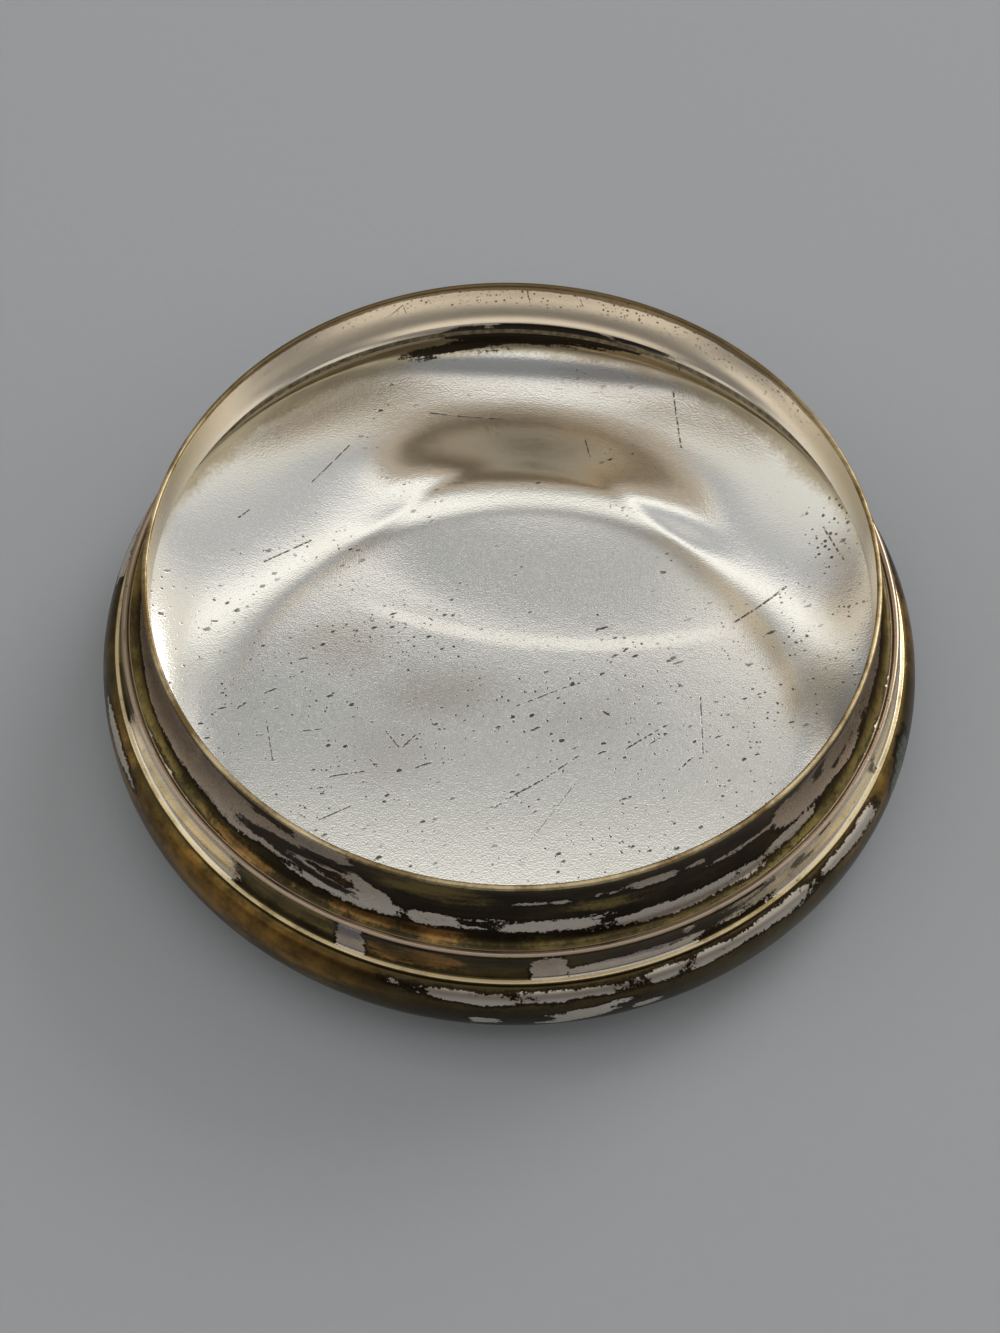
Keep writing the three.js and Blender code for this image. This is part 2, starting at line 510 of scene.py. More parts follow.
def stations_of(mesh):
    values = np.empty(len(mesh.vertices), np.float32)
    mesh.attributes["station"].data.foreach_get("value", values)
    return values.astype(float)


def points_of(mesh):
    flat = np.empty(len(mesh.vertices) * 3, np.float32)
    mesh.vertices.foreach_get("co", flat)
    return flat.reshape(-1, 3).astype(float) / MM


# Dents of the panel

# Fold across its far half: a gentle flank from a bowed foot up to a leaning crest, and a steeper one down
FOLD_HEIGHT = 0.7
FOLD_CREST = 29.0
FOLD_LEAN = -0.09
FOLD_FOOT = 4.4
FOLD_BOW_MIDDLE = 11.0
FOLD_BOW = 0.0115
FOLD_LEFT = -24.0
FOLD_LEFT_FADE = 17.0
FOLD_RIGHT = 36.0
FOLD_RIGHT_FADE = 20.0
FOLD_FALL = 11.0
FOLD_MARGIN = 6.85

# Stretches where the panel's edge is sprung up, so that the bulge turns in further. Middle and spread are
# degrees, anticlockwise from the right. Width adds to the tuck, and slack takes from the roundness
SPRUNG_EDGES = [
    {"middle": 135, "spread": 70, "width": 8.0, "slack": 0.7},
    {"middle": 90, "spread": 60, "width": 1.0, "slack": 0.2},
    {"middle": 45, "spread": 60, "width": 6.0, "slack": 0.7},
]

# Low relief along the fold: a swell that ends at a bowed crease, and a step up along another one
NEAR_CREASE = 4.9
NEAR_MIDDLE = 8.0
NEAR_BOW = 0.0075
SWELL_HEIGHT = 0.045
SWELL_RISE = 14.0
SWELL_FALL = 2.4
FAR_CREASE = 25.2
FAR_MIDDLE = 2.5
FAR_BOW = -0.0115
STEP_HEIGHT = 0.32
STEP_WIDTH = 5.0
STEP_END = 37.0
STEP_FADE = 8.0
CREASE_LEFT = -21.0
CREASE_RIGHT = 31.0
CREASE_FADE = 9.0


def ease(t):
    u = np.clip(t, 0, 1)
    return u * u * (3 - 2 * u)


def fold(x, y):
    foot = FOLD_FOOT + FOLD_BOW * (x - FOLD_BOW_MIDDLE) ** 2
    crest = FOLD_CREST + FOLD_LEAN * x
    rise = ease((y - foot) / (crest - foot))
    fall = ease((WIDEST_RADIUS - FOLD_MARGIN - np.hypot(x, y)) / FOLD_FALL)
    along = ease((x - FOLD_LEFT) / FOLD_LEFT_FADE) * ease((FOLD_RIGHT - x) / FOLD_RIGHT_FADE)
    return FOLD_HEIGHT * rise * fall * along


def creases(x, y):
    """Low relief along the fold: a swell before its foot and a step up to its crest."""
    near = NEAR_CREASE + NEAR_BOW * (x - NEAR_MIDDLE) ** 2
    swell = ease((y - near) / SWELL_RISE + 1) * ease((near - y) / SWELL_FALL)
    far = FAR_CREASE + FAR_BOW * (x - FAR_MIDDLE) ** 2
    step = ease((y - far) / STEP_WIDTH + 0.5) * ease((STEP_END - np.hypot(x, y)) / STEP_FADE)
    along = ease((x - CREASE_LEFT) / CREASE_FADE) * ease((CREASE_RIGHT - x) / CREASE_FADE)
    return (SWELL_HEIGHT * swell + STEP_HEIGHT * step) * along


def panel_height(x, y, depth):
    """Height of the dented panel and the lower half of the bulge, on a face this deep in the sheet."""
    tuck = TUCK
    roundness = ROUNDNESS
    for edge in SPRUNG_EDGES:
        away = np.abs((np.degrees(np.arctan2(y, x)) - edge["middle"] + 180) % 360 - 180)
        strength = ease(1 - away / edge["spread"])
        tuck = tuck + edge["width"] * strength
        roundness = roundness - edge["slack"] * strength
    inward = np.hypot(x, y) - WIDEST_RADIUS + tuck
    share = np.clip(inward / (tuck - depth), 0, 1)
    rise = 1 - (1 - share ** roundness) ** (1 / roundness)
    return depth + (WIDEST_HEIGHT - depth) * rise + fold(x, y) + creases(x, y)


def press_dents(mesh):
    points = points_of(mesh)
    depth = np.where(stations_of(mesh) < 0, SHEET, 0.0)
    low = points[:, 2] < WIDEST_HEIGHT - SAME_HEIGHT
    points[low, 2] = panel_height(points[low, 0], points[low, 1], depth[low])
    mesh.vertices.foreach_set("co", (points * MM).astype(np.float32).ravel())
    mesh.update()


# Wear of the plate, as depths inside listed patches

# Depth that counts as far outside every patch, station that no patch reaches, and how square patches are
OUTSIDE_LIMIT = 9.0
FAR_AWAY = 100.0
SQUARENESS = 3.5


def turns_of(points):
    return np.degrees(np.arctan2(-points[:, 1], points[:, 0])) % 360


def inside_patches(turn, down, radius, patches):
    """How far inside the nearest patch each point lies, less than 0 outside. A patch is its start and end
    round the lid, its top and bottom along the sheet and, if it slants, its drop along each degree."""
    depth = np.full(len(turn), -OUTSIDE_LIMIT)
    for start, end, top, bottom, *drop in patches:
        off = (turn - (start + end) / 2 + 180) % 360 - 180
        half_length = math.radians((end - start) / 2) * radius
        half_width = (bottom - top) / 2
        along = np.abs(np.radians(off) * radius) / half_length
        across = np.abs(down - (top + bottom) / 2 - sum(drop) * off) / half_width
        share = (along ** SQUARENESS + across ** SQUARENESS) ** (1 / SQUARENESS)
        depth = np.maximum(depth, (1 - share) * np.minimum(half_length, half_width))
    return depth


# Collar: start and end turn, top and bottom in millimetres down the outside from the rim, any drop per degree
COLLAR_SILVER = [
    (-98, 26, 0.8, 8.3),
    (22, 47.5, 1.6, 7.9, -0.05),
    (116, 266, 0.8, 8.1),
    (112, 122, -0.2, 3.2, 0.1),
    (60.5, 63, 2.6, 3.4),
    (48.5, 57, 4.4, 5.0),
    (65, 72.4, 2.5, 3.8),
    (73.9, 75.2, 2.9, 3.7),
    (76.1, 77.2, 2.9, 3.6),
    (80.9, 83.2, 2.9, 3.8),
    (84.3, 85.7, 2.9, 3.6),
    (86, 88.2, 2.9, 3.6),
    (39, 48, 7.7, 8.5),
    (53.5, 76, 7.5, 8.9, -0.02),
    (74.5, 92.5, 6.4, 7.85),
    (90, 98, 7.2, 7.8),
    (91.5, 97, 6.15, 6.7),
    (96.6, 103.8, 6.25, 7.8),
    (104.4, 113.4, 6.2, 8.2),
    (106, 112.6, 4.4, 6.6, -0.42),
    (110, 124, 6.9, 8.1),
    (-82, 58, 9.9, 16.6),
    (63.8, 65.4, 11.2, 13.2, -0.6),
    (62, 82, 13.4, 16.6),
    (81.6, 86.4, 11.2, 16.0, 0.1),
    (108.9, 112.6, 10.4, 16.6, -0.3),
    (129.2, 158.8, 9.9, 16.6),
    (192, 264, 9.9, 16.6),
]
COLLAR_SOOT = [
    (46, 114, 0.9, 9.0),
    (112, 119, 3.6, 7.2),
    (58, 82, 11.2, 13.6),
    (84, 96, 10.9, 12.6),
    (95, 109, 10.9, 12.0),
    (157.5, 163, 10.9, 14.7, 0.5),
    (175.5, 192, 10.9, 14.8, 0.5),
    (112, 121, 13.5, 14.8),
    (264, 270, 0.9, 8.4),
    (272, 284, 11, 14.8),
    # The last patch darkens a line all round the lower cove, just above the groove
    (-180, 180, 8.15, 8.65),
]
COLLAR_ORANGE = [
    (112.6, 118.4, 4.6, 6.6, 0.05),
    (96, 108.6, 11.7, 14.3),
    (97, 115, 8.1, 9.5),
    (120, 137, 8.9, 9.9),
    (284, 300, 9.0, 9.9),
]
COLLAR_OLIVE = [
    (-30, 62, 8.5, 9.9),
    (72, 79, 4.0, 5.6),
    (93, 109, 0.6, 3.8),
    (113.4, 129, 10.9, 13.9),
    (118, 330, 8.4, 9.9),
    (163, 176, 11.0, 14.8, 0.5),
    (264, 274, 10.9, 14.8),
]
COLLAR_BLUISH = [
    (64, 81, 11.7, 13.7),
    (109, 113, 10.9, 13.2),
    (236, 243, 11.2, 14.2),
]
COLLAR_STAINS = [
    (124.5, 129.8, 0.5, 2.3, 0.22),
    (114, 132, 3.8, 5.5, 0.17),
    (113, 126, 6.2, 6.9, -0.07),
    (35.6, 38.8, 2.3, 5.0),
    (26, 27.6, 5.9, 6.7),
    (28.6, 29.8, 6.2, 6.8),
    (31.4, 32.8, 6.2, 6.9),
    (40, 46, 1.6, 2.5),
    (25.2, 27.4, 10.8, 14.4, -1.3),
    (39.8, 41.4, 10.7, 11.25),
    (41, 46, 12.9, 13.5),
    (45, 47, 11.3, 13.1),
    (50, 53, 11.2, 12.1),
    (56, 66, 12.3, 13.4),
    (138.5, 141.5, 7.3, 7.8),
    (153, 153.8, 13.3, 14.2, 0.5),
    (200, 206, 5.5, 7.6),
    (224, 238, 1.2, 2.4, 0.05),
    (302, 316, 5.4, 7.4, 0.04),
    (330, 338, 2.2, 3.6),
]
COLLAR_CREAM = [
    (-80, 41, 10.0, 16.4),
    (129.6, 158.4, 10.0, 16.4),
    (192, 262, 10.0, 16.4),
]
COLLAR_ROSE = [
    (-30, 29, 0.7, 6.2),
    (30, 44, 0.7, 3.2),
    (138, 204, 0.7, 7.4),
    (81, 97, 11.0, 14.8),
    (108.5, 113.5, 12.6, 14.9),
    (210, 300, 0.9, 7.6),
]

# Inside of the collar: top and bottom in millimetres down from the rim
WALL_TARNISH = [(-181, 181, 9.3, 30)]
WALL_BLACK = [
    (256.5, 266, 12.0, 30),
    (263, 289, 11.8, 30),
    (286, 296, 11.8, 13.5),
]

# Bulge: top and bottom in millimetres down the outside from the seam
SEAM_DOWN = 1.6
BULGE_SILVER = [
    (31, 45.6, 0.25, 1.5),
    (45.9, 66, 0.1, 1.75),
    (66.8, 71.3, 0.3, 1.6),
    (71.8, 87.6, 0.35, 1.7),
    (88.9, 100.4, 0.55, 2.0),
    (103.4, 104.7, 0.7, 1.1),
    (74.6, 84.6, 3.2, 5.2, 0.13),
    (69.6, 72.8, 4.0, 5.0),
    (91, 93.9, 4.3, 5.3),
    (152, 165, 1.2, 2.3, 0.01),
    (158, 168, 6.2, 7.4),
    (188, 212, 0.3, 1.5),
    (216, 224, 3.6, 4.8, 0.1),
    (236, 262, 0.3, 1.8),
    (270, 301, 0.2, 1.5),
    (309, 318, 3.2, 5.0, -0.1),
    (322, 344, 0.4, 1.6),
]
BULGE_GOLD = [
    (108, 160, 0.0, 4.5),
    (22, 40, 0.0, 2.6),
    (176, 236, 0.5, 3.5),
    (296, 362, 0.0, 3.6),
]
BULGE_SOOT = [
    (98, 116, 0.3, 2.2),
    (60, 108, 2.2, 9.0),
    (176, 190, 0.0, 2.6),
]
CORROSION = [
    (15.5, 24.5, 0.6, 4.4, 0.1),
    (19.5, 26.5, 1.2, 5.4, 0.12),
    (17.5, 22.0, 0.2, 2.6),
]

# Inside of the shell: top and bottom in millimetres below the lip
BLACK_PATCH = [
    (258, 282, -3.0, 5.0),
    (263, 288, -3.0, 4.4),
    (280, 291, -3.0, 2.2),
    (254, 265, 4.2, 5.5),
]
RECESS_MAUVE = [(277, 304, 4.2, 8.2)]

# Plate of the underside: margin to the panel's edge, waves of its border as height, count and start in
# degrees, and a share that makes it end as raggedly as rubbed plate
UNDERSIDE_MARGIN = 3.0
UNDERSIDE_WAVES = [(2.6, 3, 40), (1.7, 7, 110)]
UNDERSIDE_SHARE = 0.16

# Station just inside the rim, from which the plate is whole
INSIDE_RIM = -0.35


def wear_of_collar(mesh):
    turn = turns_of(points_of(mesh))
    down = stations_of(mesh)
    inside = down < 0
    out = np.where(inside, FAR_AWAY, down)
    under = np.where(inside, -down, -FAR_AWAY)
    outside_patches = {
        "soot": COLLAR_SOOT,
        "orange": COLLAR_ORANGE,
        "olive": COLLAR_OLIVE,
        "bluish": COLLAR_BLUISH,
        "stain": COLLAR_STAINS,
        "rose": COLLAR_ROSE,
        "cream": COLLAR_CREAM,
    }
    for name, patches in outside_patches.items():
        set_field(mesh, name, inside_patches(turn, out, GROOVE_RADIUS, patches))
    for name, patches in {"wall_tarnish": WALL_TARNISH, "wall_black": WALL_BLACK}.items():
        set_field(mesh, name, inside_patches(turn, under, GROOVE_RADIUS, patches))
    silver = inside_patches(turn, out, GROOVE_RADIUS, COLLAR_SILVER)
    set_field(mesh, "silver_left", np.where(down < INSIDE_RIM, OUTSIDE_LIMIT, silver))
    set_field(mesh, "down", down)
    set_field(mesh, "inside", inside.astype(float))


def wear_of_shell(mesh):
    """Fields of the shell. The lip counts as inside, because the collar hides it from outside."""
    points = points_of(mesh)
    turn = turns_of(points)
    station = stations_of(mesh)
    inside = station < LIP_WIDTH
    down = np.where(inside, FAR_AWAY, station - SEAM_DOWN)
    below_lip = np.where(inside, LIP_TOP - points[:, 2], FAR_AWAY)
    for name, patches in {"soot": BULGE_SOOT, "orange": BULGE_GOLD, "corrosion": CORROSION}.items():
        set_field(mesh, name, inside_patches(turn, down, WIDEST_RADIUS, patches))
    for name, patches in {"stain": BLACK_PATCH, "mauve": RECESS_MAUVE}.items():
        set_field(mesh, name, inside_patches(turn, below_lip, WIDEST_RADIUS, patches))
    silver = inside_patches(turn, down, WIDEST_RADIUS, BULGE_SILVER)
    underside = FOOT_RADIUS - UNDERSIDE_MARGIN - np.hypot(points[:, 0], points[:, 1])
    for height, count, start in UNDERSIDE_WAVES:
        underside = underside + height * np.sin(np.radians(count * turn + start))
    silver = np.maximum(silver, UNDERSIDE_SHARE * underside)
    set_field(mesh, "silver_left", np.where(inside, OUTSIDE_LIMIT, silver))
    set_field(mesh, "inside", inside.astype(float))


# Finishes

SILVER = (0.92, 0.905, 0.86)
PALE_SILVER = (0.72, 0.65, 0.56)
CREAM = (0.86, 0.80, 0.68)
MAUVE = (0.54, 0.45, 0.39)
LAVENDER = (0.40, 0.38, 0.43)
CHAMPAGNE = (0.92, 0.79, 0.63)
OLIVE_BRASS = (0.125, 0.097, 0.040)
DARK_BRASS = (0.050, 0.038, 0.020)
OLIVE_GOLD = (0.34, 0.26, 0.085)
ORANGE_BRASS = (0.58, 0.31, 0.10)
BULGE_BROWN = (0.082, 0.058, 0.023)
BULGE_AMBER = (0.40, 0.215, 0.050)
WORN_GOLD = (0.80, 0.64, 0.38)
RIM_OLIVE = (0.24, 0.155, 0.06)
FAR_RIM_BROWN = (0.15, 0.10, 0.045)
RIDGE_TAN = (0.46, 0.355, 0.26)
SOOT = (0.026, 0.019, 0.013)
RECESS_GOLD = (0.66, 0.56, 0.38)
WALL_BROWN = (0.87, 0.82, 0.73)
WALL_GOLD = (0.48, 0.385, 0.23)
CLOUD_BROWN = (0.52, 0.45, 0.35)
VERDIGRIS = (0.23, 0.25, 0.18)
PIT = (0.045, 0.040, 0.034)
SOLDER_DARK = (0.20, 0.17, 0.12)
SOLDER_PALE = (0.50, 0.44, 0.32)

# Heights of the relief: plate over the brass, pits and scratches, and grain. The panel's grain has three
# layers, each with cells to a millimetre, detail and height
PLATE_HEIGHT = 0.006
PIT_DEPTH = 0.012
COLLAR_GRAIN = 0.0014
PANEL_GRAIN = [(4.6, 1.0, 0.0036), (1.6, 2.0, 0.0016), (0.4, 2.0, 0.0024)]

# Roughness of bare metal, and what clean plate takes from it
COLLAR_ROUGHNESS = 0.34
COLLAR_SMOOTHING = 0.06
COLLAR_POLISH = 0.09
SHELL_ROUGHNESS = 0.36
PANEL_SMOOTHING = 0.225
RECESS_ROUGHENING = 0.2


class Wear:
    """Noises that make the borders of plate, soot and stains ragged, and the layers they border."""

    def __init__(self, mix, place):
        self.mix = mix
        self.streaks = mix.cloud(mix.ring_place(place, 6.0), 1.0, 5.0, 0.62)
        self.lines = mix.cloud(mix.ring_place(place, 16.0), 3.4, 3.0, 0.6)
        self.fine = mix.cloud(place, 2.2, 4.0, 0.62)
        self.broad = mix.cloud(place, 0.17, 3.0)
        crumbs = mix.cloud(place, 5.5, 2.0)
        self.ragged = mix.weighed((self.streaks, 0.6), (self.fine, 0.26), (crumbs, 0.1))

    def border(self, name, raggedness, low, high):
        """Share of the layer in a patch's field, with a border as ragged as told."""
        depth = self.mix.add(self.mix.field(name), self.mix.times(self.ragged, raggedness))
        return self.mix.rise(depth, low, high)

    def smudged(self, plate, smudge):
        """Plate with streaky smudges and hair lines of soot."""
        mix = self.mix
        smear = mix.weighed((self.streaks, 0.8), (self.broad, 0.5), (self.fine, 0.35))
        plate = mix.blend(mix.rise(smear, 0.0, 0.8), plate, smudge, 0.5)
        hairs = mix.times(mix.rise(self.lines, 0.35, 0.75), mix.rise(self.fine, -0.1, 0.5))
        return mix.blend(hairs, plate, SOOT, 0.75)

    def plated(self, brass, plate):
        """Plate left on the brass, with sooty borders and stains: its colour, and how clean it is."""
        mix = self.mix
        left = mix.add(mix.field("silver_left"), mix.times(self.ragged, 1.25))
        outline = mix.between(left, -0.34, 0.02, 0.12)
        brass = mix.blend(outline, brass, SOOT, 0.85)
        silver = mix.rise(left, -0.03, 0.08)
        colour = mix.blend(silver, brass, plate)
        stain = self.border("stain", 1.7, -0.14, 0.2)
        colour = mix.blend(stain, colour, SOOT, 0.95)
        return colour, mix.times(silver, mix.less(stain))


# Stations of the collar's ridge, of its flange and of the flange's edge
RIDGE_DOWN = (9.85, 11.0)
RIDGE_SOFT = 0.08
FLANGE_DOWN = (14.86, 15.0)
FLANGE_EDGE_DOWN = (15.25, 15.4)

# Where the collar's looks change: towards the camera, to the far side, to the right, and up to the rim
NEAR_WALL = (30.0, 10.0)
FAR_SIDE = (8.0, 34.0)
RIGHT_HALF = (-10.0, 6.0)
SPECKS_BELOW_RIM = (6.0, 0.4)


def on_wall(turn, down):
    """Place on the inside of the collar."""
    angle = math.radians(turn)
    return (INNER_WALL * math.cos(angle), -INNER_WALL * math.sin(angle), RIM_TOP - down)


# Hair cracks of the collar's inside: both ends, and the width
WALL_CRACKS = [
    (on_wall(245, 3.6), on_wall(249.5, 1.2), 0.07),
    (on_wall(249.5, 1.2), on_wall(250.5, 4.2), 0.06),
    (on_wall(271.5, 0.6), on_wall(272.5, 4.4), 0.07),
    (on_wall(281, 1.4), on_wall(281.6, 2.6), 0.06),
]


def collar_brass(mix, wear, mottle):
    brass = mix.blend(mix.rise(mottle, -0.6, 0.8), DARK_BRASS, OLIVE_BRASS)
    sooty = mix.line(mix.rise(mottle, 0.7, -0.5), 0.5, 0.45)
    brass = mix.blend(wear.border("soot", 1.6, -0.3, 0.6), brass, SOOT, sooty)
    sheen = mix.rise(mottle, -0.7, 0.7)
    olive = mix.blend(sheen, OLIVE_BRASS, OLIVE_GOLD)
    brass = mix.blend(wear.border("olive", 1.8, -0.5, 0.8), brass, olive)
    orange = mix.blend(sheen, BULGE_BROWN, ORANGE_BRASS)
    return mix.blend(wear.border("orange", 1.0, -0.2, 0.2), brass, orange)


def collar_plate(mix, wear, place, cream):
    rose = mix.rise(mix.add(mix.field("rose"), mix.cloud(place, 0.5, 3.0)), -0.6, 1.6)
    plate = wear.smudged(mix.blend(rose, PALE_SILVER, MAUVE), MAUVE)
    plate = mix.blend(wear.border("bluish", 1.4, -0.2, 0.4), plate, LAVENDER)
    streaky = mix.blend(mix.rise(wear.streaks, 0.1, 1.0), CREAM, MAUVE, 0.4)
    return mix.blend(cream, plate, streaky)


def collar_wall(mix, wear, y):
    """Inside of the collar: champagne on the far side, golden towards the camera, tarnished low down."""
    wall = mix.blend(mix.rise(y, *NEAR_WALL), CHAMPAGNE, WALL_GOLD, 0.9)
    wall = mix.blend(mix.rise(wear.streaks, -0.2, 1.0), wall, MAUVE, 0.16)
    wall = mix.blend(wear.border("wall_tarnish", 1.0, -0.5, 0.5), wall, WALL_BROWN, 0.95)
    return mix.blend(wear.border("wall_black", 1.6, -0.2, 0.2), wall, SOOT)


def collar_marks(mix, wear, place, inside, far_side, right_half):
    """Specks, crowded inside the far rim and most of all on its right, and hair cracks."""
    z = mix.parts(place)[2]
    near_rim = mix.rise(z, *[RIM_TOP - below for below in SPECKS_BELOW_RIM])
    sideways = mix.line(right_half, 0.5, 0.35)
    crowd = mix.add(mix.times(near_rim, far_side, sideways), 0.02)
    crowd = mix.rise(mix.add(mix.times(wear.fine, 0.6), crowd), 0.2, 0.55)
    specks = mix.times(mix.pits(place, 1.9, 0.10, 0.34, 0.95), crowd, inside)
    outer_specks = mix.times(mix.pits(place, 0.8, 0.04, 0.13, 0.4), mix.less(inside))
    cracks = mix.most(*[mix.scratch(place, *line) for line in WALL_CRACKS])
    cracks = mix.times(cracks, mix.rise(wear.fine, -0.5, 0.1))
    return mix.most(specks, outer_specks, cracks)


def collar_finish():
    material, mix = new_finish("collar_worn_plate")
    place = mix.place()
    x, y, z = mix.parts(place)
    down = mix.field("down")
    inside = mix.rise(mix.field("inside"), 0.35, 0.65)
    outside = mix.less(inside)
    far_side = mix.rise(y, *FAR_SIDE)
    right_half = mix.rise(x, *RIGHT_HALF)
    wear = Wear(mix, place)

    mottle = mix.weighed((wear.broad, 0.7), (wear.streaks, 0.8), (wear.fine, 0.3))
    brass = collar_brass(mix, wear, mottle)
    cream = wear.border("cream", 0.7, -0.1, 0.3)
    plate = collar_plate(mix, wear, place, cream)
    wall = collar_wall(mix, wear, y)
    colour, clean = wear.plated(brass, mix.blend(inside, plate, wall))

    ridge = mix.times(mix.between(down, *RIDGE_DOWN, RIDGE_SOFT), outside)
    colour = mix.blend(ridge, colour, RIDGE_TAN, mix.rise(wear.lines, 0.9, 0.2))
    flange = mix.times(mix.rise(down, *FLANGE_DOWN), outside)
    edge_gold = mix.blend(mix.rise(mottle, -0.7, 0.1), OLIVE_GOLD, WORN_GOLD)
    edge_gold = mix.blend(mix.rise(down, *FLANGE_EDGE_DOWN), edge_gold, BULGE_BROWN)
    colour = mix.blend(flange, colour, edge_gold)
    marks = collar_marks(mix, wear, place, inside, far_side, right_half)
    colour = mix.blend(marks, colour, PIT, 0.8)

    over_rim = mix.maths("SUBTRACT", z, RIM_TOP)
    worn_inside = mix.times(far_side, inside, mix.line(right_half, 0.3, 0.25))
    crest = mix.rise(mix.add(over_rim, mix.times(wear.ragged, 0.5), worn_inside), -0.5, -0.22)
    crest_gold = mix.blend(mix.rise(mottle, -0.5, 0.5), RIM_OLIVE, WORN_GOLD)
    crest_gold = mix.blend(far_side, crest_gold, FAR_RIM_BROWN, 0.9)
    colour = mix.blend(crest, colour, crest_gold, 0.9)

    roughness = mix.line(clean, -COLLAR_SMOOTHING, COLLAR_ROUGHNESS)
    polish = mix.times(clean, mix.most(cream, mix.times(inside, 0.4)), -COLLAR_POLISH)
    roughness = mix.add(roughness, mix.times(wear.fine, 0.04), polish)
    grain = mix.cloud(place, 2.6, 2.0)
    height = mix.weighed((grain, COLLAR_GRAIN), (clean, PLATE_HEIGHT), (marks, -PIT_DEPTH))
    mix.metal(colour, roughness, mix.bump(height))
    return material


# Lines on the panel: both ends, and the width
SCRATCHES = [
    ((0.0, -17.6), (4.2, -14.9), 0.14),
    ((4.7, -14.5), (8.2, -11.7), 0.12),
    ((-1.2, -18.6), (-0.6, -18.2), 0.14),
    ((2.9, -22.7), (7.9, -15.3), 0.05),
    ((13.9, -10.5), (18.7, -7.2), 0.13),
    ((16.2, -10.1), (18.5, -8.5), 0.10),
    ((0.8, -5.2), (6.9, -2.3), 0.10),
    ((27.3, 7.5), (33.8, 12.4), 0.14),
    ((-28.3, -8.1), (-27.1, -13.3), 0.09),
    ((20.4, 39.6), (21.4, 32.4), 0.11),
    ((-14.2, -9.0), (-12.5, -11.2), 0.11),
    ((-12.2, -11.1), (-10.7, -9.3), 0.10),
    ((-28.8, -4.2), (-27.6, -3.5), 0.13),
    ((-31.9, -6.3), (-31.0, -5.6), 0.13),
    ((-33.9, -6.5), (-33.3, -6.3), 0.15),
    ((-23.9, -9.2), (-21.8, -8.9), 0.09),
    ((-20.5, -15.2), (-16.5, -14.4), 0.11),
    ((-22.6, -16.8), (-19.8, -16.5), 0.09),
    ((-21.2, -20.8), (-17.8, -19.0), 0.10),
    ((12.9, -17.4), (14.3, -16.8), 0.16),
    ((20.0, -13.1), (21.5, -11.5), 0.15),
    ((22.8, -3.1), (22.8, -10.9), 0.08),
    ((-30.5, 14.2), (-25.0, 17.8), 0.11),
    ((-34.0, 19.5), (-32.8, 20.8), 0.13),
    ((-36.1, 5.3), (-35.4, 5.4), 0.10),
    ((-25.4, 25.7), (-21.0, 31.4), 0.10),
    ((-11.0, 37.3), (-1.9, 37.3), 0.08),
    ((9.2, 34.3), (9.8, 31.8), 0.09),
    ((38.4, 19.5), (40.6, 14.8), 0.12),
]

# Warm brown clouds of the panel, the far one a painted reflection of the darker wall: middle, reach and
# strength
BROWN_CLOUDS = [
    ((-20.0, 3.0), (9.0, 6.0), 0.40),
    ((-8.0, -3.5), (13.0, 6.0), 0.44),
    ((-14.0, -12.0), (8.0, 8.0), 0.22),
    ((10.0, -7.0), (11.0, 5.0), 0.18),
    ((41.5, 10.0), (7.0, 13.0), 0.95),
    ((38.5, -4.0), (7.0, 14.0), 0.85),
    ((4.0, 35.0), (17.0, 5.5), 0.25),
]


# Specks of the panel: direction in degrees and how far they are drawn out along it, cells to a millimetre,
# least and most reach, share of the cells, and how crowded the marks have to be for none and for all of them
PANEL_SPECKS = [
    (24, 2.0, 0.95, (0.07, 0.21), 0.7, (0.0, 0.5)),
    (0, 1.0, 1.5, (0.09, 0.25), 0.5, (0.0, 0.55)),
    (22, 5.0, 0.75, (0.05, 0.12), 0.5, (0.0, 0.5)),
    (-35, 4.0, 0.6, (0.04, 0.09), 0.3, (0.1, 0.6)),
]

# Middle and reach of a cluster of pits, and where the shell's looks change: towards the camera, up into the
# recess under the lip, and down to the underside
PIT_CLUSTER = ((39.0, 18.5), (4.2, 8.0))
NEAR_HALF = (22.0, -4.0)
RECESS_LIFT = (5.2, 6.5)
UNDERSIDE_LIFT = (0.3, 0.1)


def shell_brass(mix, wear, mottle):
    brass = mix.blend(mix.rise(mottle, -0.5, 0.9), BULGE_BROWN, OLIVE_BRASS)
    amber = mix.blend(mix.rise(mottle, -0.7, 0.6), BULGE_BROWN, BULGE_AMBER)
    brass = mix.blend(wear.border("orange", 2.5, -0.8, 1.0), brass, amber)
    return mix.blend(wear.border("soot", 2.5, -0.8, 1.6), brass, SOOT, 0.75)


def panel_plate(mix, wear, drift, bent, recess):
    """Silver of the panel under warm brown clouds, the far one a painted reflection of the wall, golden in
    the recess under the lip.
    """
    warm = mix.times(mix.rise(drift, 0.0, 1.2), 0.25)
    # The far cloud is a painted reflection of the darker wall
    for middle, reach, strength in BROWN_CLOUDS:
        warm = mix.most(warm, mix.times(mix.blot(bent, middle, reach), strength))
    panel = mix.blend(warm, SILVER, CLOUD_BROWN)
    tan = mix.blend(mix.rise(wear.streaks, -0.3, 0.9), RECESS_GOLD, OLIVE_BRASS, 0.45)
    panel = mix.blend(recess, panel, tan, 0.95)
    return mix.blend(wear.border("mauve", 1.5, -0.6, 1.2), panel, MAUVE, 0.35)


